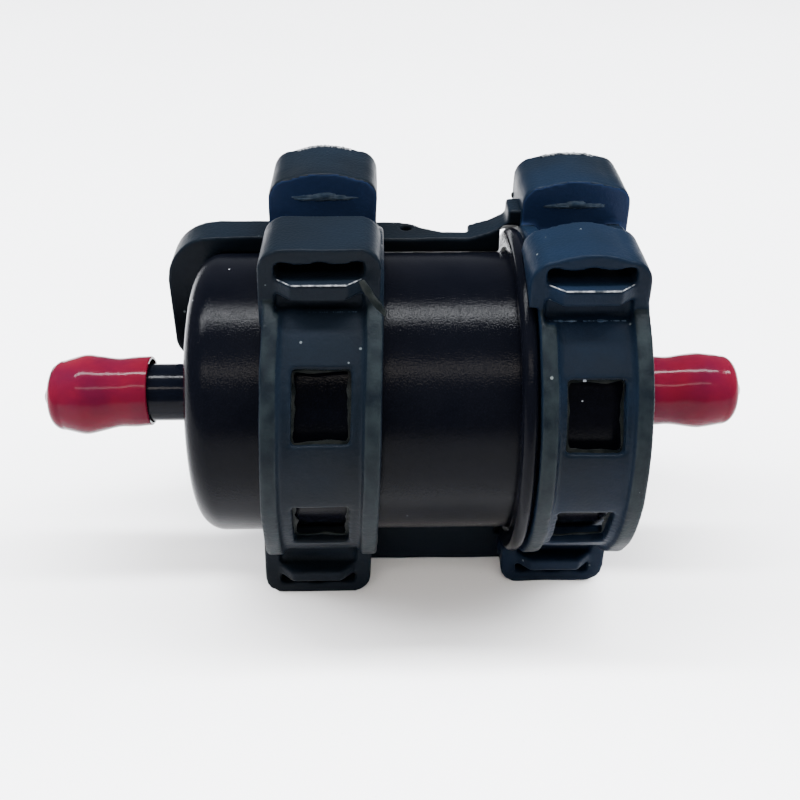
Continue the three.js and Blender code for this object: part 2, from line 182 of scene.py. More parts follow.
def make_surface_group():
    group = bpy.data.node_groups.new("grain_and_dust", "ShaderNodeTree")
    for name, kind, value in SURFACE_INPUTS:
        socket = group.interface.new_socket(name, in_out="INPUT", socket_type=kind)
        socket.default_value = value
    for name, kind in SURFACE_OUTPUTS:
        group.interface.new_socket(name, in_out="OUTPUT", socket_type=kind)
    given = group.nodes.new("NodeGroupInput").outputs
    place = group.nodes.new("ShaderNodeTexCoord").outputs["Object"]
    patches = make_node(group, "ShaderNodeTexNoise", [
        ("Vector", place), ("Scale", given["Patch Scale"])], Detail=4.0)
    grain = make_node(group, "ShaderNodeTexNoise", [
        ("Vector", place), ("Scale", given["Grain Scale"])], Detail=2.0)
    cells = make_node(group, "ShaderNodeTexVoronoi", [("Vector", place), ("Scale", given["Speck Scale"])])
    near = make_node(group, "ShaderNodeMath", [
        (0, cells.outputs["Distance"]), (1, given["Speck Size"])], operation="LESS_THAN")
    chosen = make_node(group, "ShaderNodeSeparateColor", [("Color", cells.outputs["Color"])])
    rare = make_node(group, "ShaderNodeMath", [(0, chosen.outputs["Red"])], operation="GREATER_THAN")
    rare.inputs[1].default_value = SPECK_RARITY
    speck = make_node(group, "ShaderNodeMath", [
        (0, near.outputs[0]), (1, rare.outputs[0])], operation="MULTIPLY")
    contrast = make_node(group, "ShaderNodeMapRange", [("Value", patches.outputs[0])])
    contrast.inputs["From Min"].default_value, contrast.inputs["From Max"].default_value = PATCH_EDGES
    body = make_node(group, "ShaderNodeMix", [("Factor", contrast.outputs[0])], data_type="RGBA")
    group.links.new(given["Main Colour"], body.inputs[6])
    group.links.new(given["Patch Colour"], body.inputs[7])
    dusty = make_node(group, "ShaderNodeMix", [("Factor", speck.outputs[0])], data_type="RGBA")
    group.links.new(body.outputs[2], dusty.inputs[6])
    group.links.new(given["Speck Colour"], dusty.inputs[7])
    dulled = make_node(group, "ShaderNodeMath", [
        (0, contrast.outputs[0]), (1, grain.outputs[0])], operation="MULTIPLY")
    gloss = make_node(group, "ShaderNodeMapRange", [
        ("Value", dulled.outputs[0]), ("To Min", given["Smoothest"]), ("To Max", given["Dullest"])])
    height = make_node(group, "ShaderNodeMath", [
        (0, grain.outputs[0]), (1, speck.outputs[0])], operation="ADD")
    out = group.nodes.new("NodeGroupOutput")
    for (name, _), output in zip(SURFACE_OUTPUTS, (dusty.outputs[2], gloss.outputs[0], height.outputs[0])):
        group.links.new(output, out.inputs[name])
    return group


SURFACE = make_surface_group()
print("node group", SURFACE.name, "with", len(SURFACE.nodes), "nodes")

# %% [markdown]
# ## Finishes
# The can and pipes are powder coated steel: nearly black, with a fine orange peel that breaks the
# lights into grains. The cushion is a moulded rubber, a cold blue-black with dust on the ribs. A
# painted blue reflection makes the right band bluer all over and the fronts of the tall back lugs
# bluer still. The cushion's scraps of flash have three finishes, from dark to nearly white, and the
# nearly white one also paints a highlight along the top edge of each tongue. The caps are dipped
# vinyl, deep red and glossy.

# %% Finishes
def finish(name, relief, main, patch, metal=0.0, shine=0.5, **values):
    """A material from the shared group; relief is the depth of the grain in metres."""
    material = bpy.data.materials.new(name)
    material.use_nodes = True
    tree = material.node_tree
    shader = tree.nodes["Principled BSDF"]
    shader.inputs["Metallic"].default_value = metal
    shader.inputs["Specular IOR Level"].default_value = shine
    surface = tree.nodes.new("ShaderNodeGroup")
    surface.node_tree = SURFACE
    surface.inputs["Main Colour"].default_value = (*main, 1)
    surface.inputs["Patch Colour"].default_value = (*patch, 1)
    for key, value in values.items():
        surface.inputs[key.replace("_", " ").title()].default_value = value
    bump = make_node(tree, "ShaderNodeBump", [("Height", surface.outputs["Height"])], Distance=relief)
    tree.links.new(surface.outputs["Colour"], shader.inputs["Base Color"])
    tree.links.new(surface.outputs["Roughness"], shader.inputs["Roughness"])
    tree.links.new(bump.outputs["Normal"], shader.inputs["Normal"])
    print("finish", name)
    return material


GRAIN = 0.00004  # the depth of the rubber's grain in metres
MOULDED = {"shine": 0.035, "grain_scale": 2600.0, "smoothest": 0.36, "dullest": 0.62}
TORN_RUBBER = {"grain_scale": 2600.0, "smoothest": 0.4, "dullest": 0.7}
DUST = {"patch_scale": 45.0, "speck_size": 0.12, "speck_colour": (0.05, 0.06, 0.065, 1)}

CAN_PAINT = finish("can_paint", 0.00003, (0.0010, 0.0012, 0.0022), (0.0018, 0.0020, 0.0032), shine=0.03,
                   grain_scale=4500.0, smoothest=0.10, dullest=0.20, speck_size=0.07)
PIPE_PAINT = finish("pipe_paint", 0.00001, (0.0010, 0.0014, 0.0030), (0.002, 0.0026, 0.005), shine=0.045,
                    grain_scale=4000.0, smoothest=0.10, dullest=0.2)
RUBBER = finish("cushion_rubber", GRAIN, (0.0021, 0.0032, 0.0046), (0.0026, 0.0048, 0.0085),
                **MOULDED, **DUST)
# A copy of the rubber made bluer with painted blue light, for the right band.
RUBBER_WITH_PAINTED_BLUE_LIGHT = finish("cushion_rubber_painted_blue_light", GRAIN, (0.0020, 0.0036, 0.0062), (0.0024, 0.0060, 0.0135),
                      **MOULDED, **DUST)
# A painted blue reflection for the forward faces of the tall back lugs.
PAINTED_BLUE_REFLECTION = finish("painted_blue_reflection", GRAIN, (0.0060, 0.0125, 0.034), (0.0090, 0.017, 0.042), **MOULDED)
DUSTY = finish("dusty_rubber", GRAIN, (0.0024, 0.0040, 0.0058), (0.0072, 0.0105, 0.0120), shine=0.045,
               patch_scale=420.0, speck_size=0.15, speck_colour=(0.06, 0.07, 0.07, 1), **TORN_RUBBER)
FLASH = finish("rubber_flash", GRAIN, (0.010, 0.019, 0.034), (0.030, 0.042, 0.058), shine=0.06,
               patch_scale=1100.0, speck_size=0.2, **TORN_RUBBER)
# Nearly white: the ragged flash on the back edges, and also the painted highlight along each tongue's top
# edge.
PALE_FLASH_AND_HIGHLIGHT = finish("pale_flash_and_highlight", GRAIN, (0.008, 0.012, 0.017), (0.24, 0.25, 0.26), shine=0.1,
              patch_scale=1300.0, speck_size=0.25, **TORN_RUBBER)
LOOSE = finish("loose_rubber", GRAIN, (0.002, 0.0032, 0.0034), (0.009, 0.0105, 0.010), shine=0.05,
               patch_scale=700.0, speck_size=0.15, **TORN_RUBBER)
RED_VINYL = finish("red_vinyl", 0.000012, (0.069, 0.0030, 0.0092), (0.044, 0.0024, 0.0105), shine=0.045,
                   patch_scale=160.0, grain_scale=1500.0, smoothest=0.09, dullest=0.2,
                   speck_size=0.05, speck_colour=(0.3, 0.06, 0.08, 1))
SEAL = finish("seal_rubber", 0.00002, (0.02, 0.02, 0.02), (0.03, 0.03, 0.03))
PAPER = finish("filter_paper", 0.00004, (0.62, 0.50, 0.28), (0.72, 0.60, 0.38), smoothest=0.8, dullest=0.95)
TIN = finish("tin_plate", 0.00001, (0.58, 0.59, 0.60), (0.66, 0.67, 0.68), metal=1.0,
             smoothest=0.2, dullest=0.4)
PLASTISOL = finish("plastisol", 0.00002, (0.06, 0.09, 0.05), (0.08, 0.11, 0.07))
NYLON = finish("nylon", 0.00001, (0.74, 0.72, 0.64), (0.80, 0.78, 0.70), smoothest=0.4, dullest=0.55)
FLOOR = finish("pale_floor", 0.00001, (0.83, 0.83, 0.84), (0.88, 0.88, 0.89), patch_scale=4.0,
               speck_colour=(0.8, 0.8, 0.81, 1), smoothest=0.5, dullest=0.7)
floor_mesh.materials.append(FLOOR)

# %% [markdown]
# ## Turned pieces
# The can, cover, pipes and caps are round, so each one is half of its section spun once round the
# axis. The profile goes out along one wall and back along the other, which gives the metal its
# real thickness. Merging the last step of the spin with the first closes the seam.

# %% Turning helper
def arc(centre, radius, start, end, steps=10):
    """Points on an arc in the section, both ends included, angles in degrees."""
    angles = [radians(start + (end - start) * i / steps) for i in range(steps + 1)]
    return [(centre[0] + radius * cos(a), centre[1] + radius * sin(a)) for a in angles]


def place(bm, name, material, body, nodes, slot, sharp=40):
    """Makes the bmesh a piece in its place, smooth except at edges sharper than the angle."""
    bm.transform(TO_PLACE)
    bmesh.ops.recalc_face_normals(bm, faces=bm.faces)
    for face in bm.faces:
        face.smooth = True
    for edge in bm.edges:
        edge.smooth = edge.is_manifold and edge.calc_face_angle() < radians(sharp)
    mesh = bpy.data.meshes.new(name)
    bm.to_mesh(mesh)
    bm.free()
    mesh.materials.append(material)
    piece = bpy.data.objects.new(name, mesh)
    bpy.context.collection.objects.link(piece)
    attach(piece, body)
    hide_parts(*nodes)
    print(f"{name}: {len(mesh.polygons)} faces")
    return piece


ROUND, PIPE_ROUND, CUT_ROUND = 192, 96, 120  # steps of a full turn


def spun(outline, steps):
    """A bmesh of the closed section outline, (x, radius) points, spun round the axis."""
    bm = bmesh.new()
    points = [bm.verts.new((x, 0, max(r, 0))) for x, r in outline]
    edges = [bm.edges.new(pair) for pair in zip(points, points[1:] + points[:1])]
    bmesh.ops.spin(bm, geom=points + edges, cent=(0, 0, 0), axis=(1, 0, 0), angle=2 * pi,
                   steps=steps, use_merge=True)
    bmesh.ops.remove_doubles(bm, verts=bm.verts, dist=1e-4)
    return bm


# %% [markdown]
# ## The can
# The real can is drawn from sheet steel in a press, so its closed end has one large soft radius
# and its open end turns out into a flange. The cover's edge is rolled over that flange, which makes
# the proud round rim.

# %% Can and rolled cover
WALL = 0.8
PIPE_HOLE = 4.02
CORNER = 3.3
FLANGE = {"from_seam": 0.65, "sheet": 0.6, "fillet": 0.5, "edge": 0.9}
COVER = {"corner": 3.0, "sheet": 0.55, "fillet": 0.4, "roll": 1.02, "from_seam": 2.05, "inside": 0.75}


def can_outline():
    flange = SEAM_LEFT + FLANGE["from_seam"]
    right = flange + FLANGE["sheet"]
    fillet, edge = FLANGE["fillet"], SEAM_RADIUS - FLANGE["edge"]
    centre = (CAN_LEFT + CORNER, CAN_RADIUS - CORNER)
    return [
        (CAN_LEFT, PIPE_HOLE), *arc(centre, CORNER, 180, 90),
        *arc((flange - fillet, CAN_RADIUS + fillet), fillet, -90, 0, 6),
        (flange, edge), (right, edge), (right, CAN_RADIUS - WALL),
        *arc(centre, CORNER - WALL, 90, 180), (CAN_LEFT + WALL, PIPE_HOLE),
    ]


def cover_outline():
    corner, sheet, fillet, roll = COVER["corner"], COVER["sheet"], COVER["fillet"], COVER["roll"]
    flange = SEAM_LEFT + COVER["from_seam"]
    curl, under = SEAM_LEFT + 0.6, CAN_RADIUS + COVER["inside"]
    over = SEAM_RADIUS - COVER["inside"]
    centre = (COVER_RIGHT - corner, CAN_RADIUS - corner)
    return [
        (SEAM_LEFT + 0.25, under), (SEAM_LEFT, CAN_RADIUS + 1.15),
        *arc((SEAM_LEFT + roll, SEAM_RADIUS - roll), roll, 180, 0, 16),
        *arc((flange + fillet, CAN_RADIUS + fillet), fillet, 180, 270, 5),
        *arc(centre, corner, 90, 0), (COVER_RIGHT, PIPE_HOLE),
        (COVER_RIGHT - WALL, PIPE_HOLE), *arc(centre, corner - WALL, 0, 90),
        (flange - sheet, CAN_RADIUS - WALL), (flange - sheet, over), (curl, over), (curl, under),
    ]


for name, outline, node in (
    ("can_shell", can_outline(), "can_body"),
    ("rolled_cover", cover_outline(), "end_cover"),
):
    place(spun(outline, ROUND), name, CAN_PAINT, "filter", [node], "can_paint", sharp=50)

# %% [markdown]
# ## Pipes
# Each hose pipe is a steel tube brazed into the end of the can. A low bead near its tip stops the
# hose from sliding off, and a small fillet of braze runs round its root under the paint.

# %% Pipes and brazed roots
PIPE_RADIUS, PIPE_BORE, PIPE_TIP, BEAD = 4.0, 3.1, 47.4, 0.35
BEAD_PLACE = PIPE_TIP - 4.3
ROUNDING = 0.3
BRAZE = 1.0
PIPE_INSIDE = 3  # how far the inlet pipe reaches into the can
OUTLET_INNER_END = 17.6


def pipe_outline(inner_end):
    bead = [(BEAD_PLACE + t, PIPE_RADIUS + BEAD * cos(t * pi / 2) ** 2)
            for t in (-1, -0.6, -0.3, 0, 0.3, 0.6, 1)]
    return [(inner_end, PIPE_BORE), (inner_end, PIPE_RADIUS), *bead,
            *arc((PIPE_TIP - ROUNDING, PIPE_RADIUS - ROUNDING), ROUNDING, 90, 0, 5), (PIPE_TIP, PIPE_BORE)]


def braze_outline(face):
    return [(face, PIPE_RADIUS), (face + BRAZE, PIPE_RADIUS),
            *arc((face + BRAZE, PIPE_RADIUS + BRAZE), BRAZE, 270, 180, 8)]


def flipped(outline):
    return [(-x, r) for x, r in outline]


for name, outline, node in (
    ("inlet_tube", flipped(pipe_outline(-CAN_LEFT - PIPE_INSIDE)), "inlet_pipe"),
    ("outlet_tube", pipe_outline(OUTLET_INNER_END), "outlet_pipe"),
    ("inlet_root", flipped(braze_outline(-CAN_LEFT)), "inlet_braze"),
    ("outlet_root", braze_outline(COVER_RIGHT), "outlet_braze"),
):
    place(spun(outline, PIPE_ROUND), name, PIPE_PAINT, "filter", [node], "pipe_paint")

# %% [markdown]
# ## Dust caps
# A dip-moulded cap is a skin of vinyl that cooled round a mandrel. It stretches over the bead of
# the pipe, so it swells there and narrows again behind, and the last drop leaves a small nub on
# its tip. The section is a smooth curve through a few stations, and a slow wave keeps it from
# being perfectly round, as a dipped skin never is.

# %% Caps
CAP = {"tip": 49.15, "length": 15.3, "sleeve": 4.87, "bore": 4.45, "bulge_from_tip": 6.2, "corner": 1.9}
CAP_ROUND = 128
INSIDE_CORNER = 1.0
NUB = {"radius": 2.3, "height": 1.3}


def eased(stations, steps=6):
    """A smooth curve through (x, radius) stations by Catmull-Rom interpolation."""
    ends = [stations[0], *stations, stations[-1]]
    curve = []
    for before, here, there, after in zip(ends, ends[1:], ends[2:], ends[3:]):
        for i in range(steps):
            t = i / steps
            curve.append(tuple(
                0.5 * (2 * b + (c - a) * t + (2 * a - 5 * b + 4 * c - d) * t**2
                       + (3 * b - a - 3 * c + d) * t**3)
                for a, b, c, d in zip(before, here, there, after)))
    return [*curve, stations[-1]]


def cap_outline(swell):
    """The section of a cap; the swell is how far it stands out over the pipe's bead."""
    tip, sleeve, bore, corner = CAP["tip"], CAP["sleeve"], CAP["bore"], CAP["corner"]
    open_end, bulge = tip - CAP["length"], tip - CAP["bulge_from_tip"]
    face, inside = tip - NUB["height"], PIPE_TIP + 0.12
    body = eased([
        (open_end + 0.12, sleeve - 0.01), (open_end + 2, sleeve + 0.05), (bulge - 4.4, sleeve - 0.05),
        (bulge - 1.9, sleeve + swell * 0.6), (bulge, sleeve + swell), (bulge + 1.8, sleeve + swell * 0.55),
        (face - corner, sleeve + 0.03)])
    nub = eased([(face + 0.02, NUB["radius"] + 0.2), (face + 0.15, NUB["radius"]), (tip - 0.3, 0.9),
                 (tip, 0.0)], 4)
    return [(open_end, sleeve - 0.13), *body, *arc((face - corner, sleeve + 0.03 - corner), corner, 82, 4, 8),
            *nub, (inside, 0.0),
            *arc((inside - INSIDE_CORNER, bore - INSIDE_CORNER), INSIDE_CORNER, 0, 90, 6), (open_end, bore)]


def hung(bm, seed, slope, drop):
    """Makes the skin a little uneven, and lets it hang as loosely as its bore allows."""
    middle = CAP["tip"] - CAP["length"] * 0.7
    for vert in bm.verts:
        if hypot(vert.co.y, vert.co.z) > CAP["bore"] + 0.1:
            wave = noise.noise(Vector((vert.co.x * 0.3 + seed, vert.co.y * 0.35, vert.co.z * 0.35)))
            ripple = noise.noise(Vector((vert.co.x * 0.9, vert.co.y * 0.8 + seed, vert.co.z * 0.8)))
            scale = 1 + 0.014 * wave + 0.004 * ripple
            vert.co.y, vert.co.z = vert.co.y * scale, vert.co.z * scale
        vert.co.z -= drop + slope * (abs(vert.co.x) - middle)
    return bm


inlet_skin = hung(spun(flipped(cap_outline(swell=0.72)), CAP_ROUND), seed=3.1, slope=0.055, drop=0.0)
outlet_skin = hung(spun(cap_outline(swell=0.45), CAP_ROUND), seed=8.4, slope=0.0, drop=0.35)
place(inlet_skin, "inlet_dust_cap", RED_VINYL, "inlet_cap", ["inlet_cap"], "red_vinyl")
place(outlet_skin, "outlet_dust_cap", RED_VINYL, "outlet_cap", ["outlet_cap"], "red_vinyl")

# %% [markdown]
# ## The rubber cushion
# The cushion is moulded in one shot, so its bands, lugs and bridges run into each other with soft
# inside corners. Here a band starts as a spun ring and some blocks that overlap it. Windows and
# slots are cut out, and then a fine voxel remesh and a few smoothing steps melt the edges
# together, as a mould that was cut with a round tool would.

# %% Sizes of the cushion
BAND = {"inner": 19.4, "waist": 21.9, "rib": 22.8, "rib_width": 2.0}
WINDOW = {"width": 7.2, "height": 9.2, "angle": 24.5}
SLOT = {"width": 10.7, "height": 1.9, "below": 1.9}
WAVE = {"height": 0.2, "length": 4.6, "drop": 0.05}  # of a slot's top edge
TONGUE = {"length": 1.8, "height": 2.0, "base": 10.6, "front": 6.8}
LEDGE = 5.4  # half the width of the pocket under a tongue
LEDGE_DEPTH = 0.25  # how far its floor lies under the waist's surface
LUG_CORNER, LUG_ROOT = 2.8, 8.0
SKIN = 0.9  # rubber that closes the front of a tall lug's slot
PAST = 2.0  # how far a cutting tool passes the face it cuts
BORE_REACH, BRIDGE_REACH = 20, 40  # how far the cutters of the can's bore go along it
SEAM_ROOM, SEAM_WIDTH = 0.3, 2.2
CUSHION = ("filter", ["rubber_cushion"], "cushion_rubber")  # what every piece of the cushion stands for
SOFT = 60  # edges of the rubber up to this angle look smooth


def lug(front, back, top, width, shift, crown):
    return {"front": front, "back": back, "top": top, "width": width, "shift": shift, "crown": crown}


LEFT = {
    "name": "left_band", "centre": -9.55, "width": 14.8, "turn": 4.0, "lean": 0.035,
    "seed": 2.0, "dust": 0.07, "rubber": RUBBER,
    "top_front": lug(-10.5, -0.7, 27.1, 14.9, -0.5, 0.0), "top_back": lug(9.0, 19.6, 28.7, 14.6, -0.85, 0.9),
    "foot_front": lug(-12.0, -1.5, 27.5, 15.2, -0.8, 0.0), "foot_back": lug(9.0, 19.6, 27.5, 14.6, -0.8, 0.0),
}
# The right band takes the rubber with painted blue light.
RIGHT = {
    "name": "right_band", "centre": 24.15, "width": 13.6, "turn": 0.0, "lean": 0.0,
    "seed": 9.0, "dust": 0.17, "rubber": RUBBER_WITH_PAINTED_BLUE_LIGHT,
    "top_front": lug(-11.8, -2.2, 26.8, 14.7, -0.75, 0.9), "top_back": lug(9.0, 19.9, 27.4, 14.8, 0.65, 0.7),
    "foot_front": lug(-10.3, -1.5, 27.5, 15.0, -1.2, 0.0), "foot_back": lug(9.0, 19.9, 27.5, 14.8, 0.0, 0.0),
}
print("bands", LEFT["name"], RIGHT["name"])


# %% Blocks, lugs, tongues and the cutting tools
def block(x, y, z):
    """A box between two planes each way, as a bmesh."""
    bm = bmesh.new()
    size = [high - low for low, high in (x, y, z)]
    middle = [(high + low) / 2 for low, high in (x, y, z)]
    bmesh.ops.create_cube(bm, size=1, matrix=Matrix.Translation(middle) @ Matrix.Diagonal((*size, 1)))
    return bm


def plate(outline, start, depth, axis):
    """An outline extruded straight: in X and Z along Y, or in X and Y along Z."""
    bm = bmesh.new()
    at = (lambda a, b: (a, start, b)) if axis == "Y" else (lambda a, b: (a, b, start))
    face = bm.faces.new([bm.verts.new(at(a, b)) for a, b in outline])
    grown = bmesh.ops.extrude_face_region(bm, geom=[face])
    along = Vector((0, depth, 0)) if axis == "Y" else Vector((0, 0, depth))
    moved = [v for v in grown["geom"] if isinstance(v, bmesh.types.BMVert)]
    bmesh.ops.translate(bm, vec=along, verts=moved)
    return bm


def lug_block(lug):
    """A lug with round top corners; its top swells by the crown in the middle."""
    side, shift, top, crown = lug["width"] / 2, lug["shift"], lug["top"], lug["crown"]
    flat, shoulder = side - LUG_CORNER, top - crown - LUG_CORNER
    crest = [(shift + flat * t / 6, top - crown * (t / 6) ** 2) for t in range(5, -6, -1)]
    outline = [(shift - side, LUG_ROOT), (shift + side, LUG_ROOT),
               *arc((shift + flat, shoulder), LUG_CORNER, 0, 90, 8), *crest,
               *arc((shift - flat, shoulder), LUG_CORNER, 90, 180, 8)]
    return plate(outline, lug["front"], lug["back"] - lug["front"], "Y")


def slot_tool(lug, skin=-PAST):
    """The slot's cutter; its top is wavy, because the core pin drags the rubber as it leaves."""
    shift, high = lug["shift"], lug["top"] - SLOT["below"]
    bm = block((shift - SLOT["width"] / 2, shift + SLOT["width"] / 2),
               (lug["front"] + skin, lug["back"] + PAST), (high - SLOT["height"], high))
    across = [edge for edge in bm.edges if abs(edge.verts[0].co.x - edge.verts[1].co.x) > 1]
    bmesh.ops.subdivide_edges(bm, edges=across, cuts=15, use_grid_fill=True)
    for vert in bm.verts:
        if vert.co.z > high - 0.01:
            vert.co.z += WAVE["height"] * cos((vert.co.x - shift) * 2 * pi / WAVE["length"]) - WAVE["drop"]
    return bm


def tongue_block(lug):
    """The tongue under a slot: its sides are cut back at 45 degrees towards the front."""
    front, shift = lug["front"], lug["shift"]
    high = lug["top"] - SLOT["below"] - SLOT["height"]
    wide, narrow = TONGUE["base"] / 2, TONGUE["front"] / 2
    tip, root = front - TONGUE["length"], front + 1
    outline = [(shift - wide, root), (shift - wide, front), (shift - narrow, tip), (shift + narrow, tip),
               (shift + wide, front), (shift + wide, root)]
    return plate(outline, high - TONGUE["height"], TONGUE["height"], "Z")


def waist_height(lug):
    """How high the waist's surface is where the front of a lug meets it."""
    return (BAND["waist"] ** 2 - lug["front"] ** 2) ** 0.5


def ledge_tool(lug):
    """The pocket under a tongue; its floor leaves a flat ledge on top of the band's waist."""
    shift, roof = lug["shift"], lug["top"] - SLOT["below"] - SLOT["height"] - TONGUE["height"]
    floor = min(roof - 0.7, waist_height(lug) - LEDGE_DEPTH)
    return block((shift - LEDGE, shift + LEDGE), (lug["front"] - 3, lug["front"] + 0.9), (floor, roof))


def window_tool(angle):
    w, h = WINDOW["width"] / 2, WINDOW["height"] / 2
    bm = block((-w, w), (-BAND["rib"] - 3, -BAND["inner"] + 3), (-h, h))
    bm.transform(Matrix.Rotation(-radians(angle), 4, "X"))
    return bm


def lower(bm):
    """Mirrors a shape drawn for the top half into the lower half."""
    bm.transform(Matrix.Diagonal((1, 1, -1, 1)))
    bmesh.ops.reverse_faces(bm, faces=bm.faces)
    return bm


# %% Joining, cutting and melting
def loose_object(name, bm):
    bmesh.ops.recalc_face_normals(bm, faces=bm.faces)
    mesh = bpy.data.meshes.new(name)
    bm.to_mesh(mesh)
    bm.free()
    thing = bpy.data.objects.new(name, mesh)
    bpy.context.collection.objects.link(thing)
    return thing


def applied(thing):
    """The object's mesh with its modifiers applied, as a bmesh; the object is removed."""
    graph = bpy.context.evaluated_depsgraph_get()
    bm = bmesh.new()
    bm.from_mesh(thing.evaluated_get(graph).to_mesh())
    bpy.data.objects.remove(thing)
    return bm


VOXEL = 0.3
SMOOTHING_STEPS = 2


def moulded(name, parts, tools):
    """Joins overlapping parts, cuts with the tools, and melts it all into one soft skin."""
    body = loose_object(name, parts[0])
    for operation, shapes in (("UNION", parts[1:]), ("DIFFERENCE", tools)):
        for shape in shapes:
            other = loose_object("shape", shape)
            cut = body.modifiers.new("cut", "BOOLEAN")
            cut.operation, cut.solver, cut.object = operation, "EXACT", other
            bm = applied(body)
            bpy.data.objects.remove(other)
            body = loose_object(name, bm)
    remesh = body.modifiers.new("melt", "REMESH")
    remesh.mode, remesh.voxel_size = "VOXEL", VOXEL
    bm = applied(body)
    for _ in range(SMOOTHING_STEPS):
        bmesh.ops.smooth_vert(bm, verts=bm.verts, factor=0.5,
                              use_axis_x=True, use_axis_y=True, use_axis_z=True)
    return bm


# %% [markdown]
# ## The two bands
# Each band grips the can with a thin waist between two ribs. The left band sits a little askew: it
# is turned by a few degrees and leans along the can. A slow noise of a tenth of a millimetre gives
# the rubber its uneven look.

# %% Bands
RIB_SLOPE = 0.4
UNEVEN_DEPTH, UNEVEN_SCALE = 0.1, 0.22
# The first place holds the painted blue reflection, the second the real dust.
PAINTED_REFLECTION_FACES, DUSTY_FACES = 1, 2  # places of these finishes in a band's list of materials
REFLECTION_AND_DUST_REACH = {"front_reach": 0.4, "below_waist": 3, "forward": 0.75, "rib_reach": 0.35, "outward": 0.7}


def band_ring(width):
    side, rib, inner, high, low = width / 2, BAND["rib_width"], BAND["inner"], BAND["rib"], BAND["waist"]
    foot = rib + RIB_SLOPE
    outline = [(-side, inner), (-side, high), (rib - side, high), (foot - side, low), (side - foot, low),
               (side - rib, high), (side, high), (side, inner)]
    return spun(outline, CUT_ROUND)


def uneven(bm, seed):
    for vert in bm.verts:
        if hypot(vert.co.y, vert.co.z) > BAND["inner"] + 0.5:
            push = noise.noise_vector(vert.co * UNEVEN_SCALE + Vector((seed, seed, seed)))
            vert.co += push * UNEVEN_DEPTH
    return bm


def seam_tool(left, right, centre=0.0, slant=0.0):
    """The cutter that makes room for the rolled seam, with both its ends given in the can's x."""
    radius = SEAM_RADIUS + SEAM_ROOM
    return spun([(left - slant - centre, 0), (left - centre, radius), (right - centre, radius),
                 (right - centre, 0)], CUT_ROUND)


def leaning(spec):
    """Moves a band to its place along the can, and leans it."""
    matrix = Matrix.Translation((spec["centre"], 0, 0))
    matrix[0][2] = spec["lean"]
    return matrix


def painted_reflection_and_dust(bm, spec):
    """Gives the fronts of the tall back lugs a painted blue reflection, and the front of the ribs the dust.
    """
    bm.normal_update()
    front, rib = spec["top_back"]["front"], spec["width"] / 2 - BAND["rib_width"]
    root = BAND["waist"] - REFLECTION_AND_DUST_REACH["below_waist"]
    for face in bm.faces:
        spot = face.calc_center_median()
        past_rib = abs(hypot(spot.y, spot.z) - BAND["rib"])
        # Painted blue reflection on the forward faces of the tall back lugs.
        if (abs(spot.y - front) < REFLECTION_AND_DUST_REACH["front_reach"] and spot.z > root
                and face.normal.y < -REFLECTION_AND_DUST_REACH["forward"]):
            face.material_index = PAINTED_REFLECTION_FACES
        elif spot.y < 0 and abs(spot.x) > rib and past_rib < REFLECTION_AND_DUST_REACH["rib_reach"]:
            outward = Vector((0, spot.y, spot.z)).normalized()
            if face.normal.dot(outward) > REFLECTION_AND_DUST_REACH["outward"]:
                face.material_index = DUSTY_FACES


def make_band(spec):
    front, foot, back, back_foot = (spec[k] for k in ("top_front", "foot_front", "top_back", "foot_back"))
    turn, inner = spec["turn"], BAND["inner"]
    parts = [band_ring(spec["width"]), lug_block(front), lug_block(back), tongue_block(front),
             lower(lug_block(foot)), lower(lug_block(back_foot)), lower(tongue_block(foot))]
    bore = spun([(-BORE_REACH, 0), (-BORE_REACH, inner), (BORE_REACH, inner), (BORE_REACH, 0)], CUT_ROUND)
    tools = [bore, slot_tool(front), ledge_tool(front), lower(slot_tool(foot)), lower(ledge_tool(foot)),
             slot_tool(back, SKIN), lower(slot_tool(back_foot)), window_tool(turn + WINDOW["angle"]),
             window_tool(turn - WINDOW["angle"])]
    if spec is RIGHT:
        tools.append(seam_tool(SEAM_LEFT - SEAM_ROOM, SEAM_LEFT + SEAM_WIDTH, spec["centre"]))
    bm = uneven(moulded(spec["name"], parts, tools), spec["seed"])
    painted_reflection_and_dust(bm, spec)
    bm.transform(leaning(spec))
    piece = place(bm, spec["name"], spec["rubber"], *CUSHION, sharp=SOFT)
    piece.data.materials.append(PAINTED_BLUE_REFLECTION)
    piece.data.materials.append(DUSTY)


make_band(LEFT)
make_band(RIGHT)

# %% [markdown]
# ## Flash and tear marks
# Rubber creeps into every gap of a worn mould, and what it leaves is called flash. The slots in the
# tall lugs are closed by a torn lens of it, the back edges of those lugs carry a white ragged line,
# and a thin dark film hangs in each window. A painted highlight, a line of thin pale rods, runs
# along the top edge of each tongue. These are separate small pieces, so that each kind has its own
# finish.

# %% Scraps of flash
def scrap(bm, centre, size, seed, detail=2):
    """Adds a small flattened lump, roughened by noise."""
    spot = Matrix.Translation(centre) @ Matrix.Diagonal((*size, 1))
    made = bmesh.ops.create_icosphere(bm, subdivisions=detail, radius=1, matrix=spot)
    for vert in made["verts"]:
        away = vert.co - Vector(centre)
        vert.co = Vector(centre) + away * (1 + 0.35 * noise.noise(vert.co * 1.7 + Vector((seed, 0, 0))))


LENS_BELOW = 3.5  # how far the middle of the torn lens lies under the lug's top
LENS = [  # place from the middle, half sizes, step of the seed and detail of each lump
    ((0, 0, 0), (4.3, 0.2, 0.42), 0, 4),
    ((0.1, -0.02, 0.2), (1.5, 0.26, 0.6), 2, 2),
    ((-2.2, 0, -0.1), (1.6, 0.24, 0.24), 4, 2),
    ((2.3, 0, -0.1), (1.5, 0.24, 0.26), 6, 2),
]


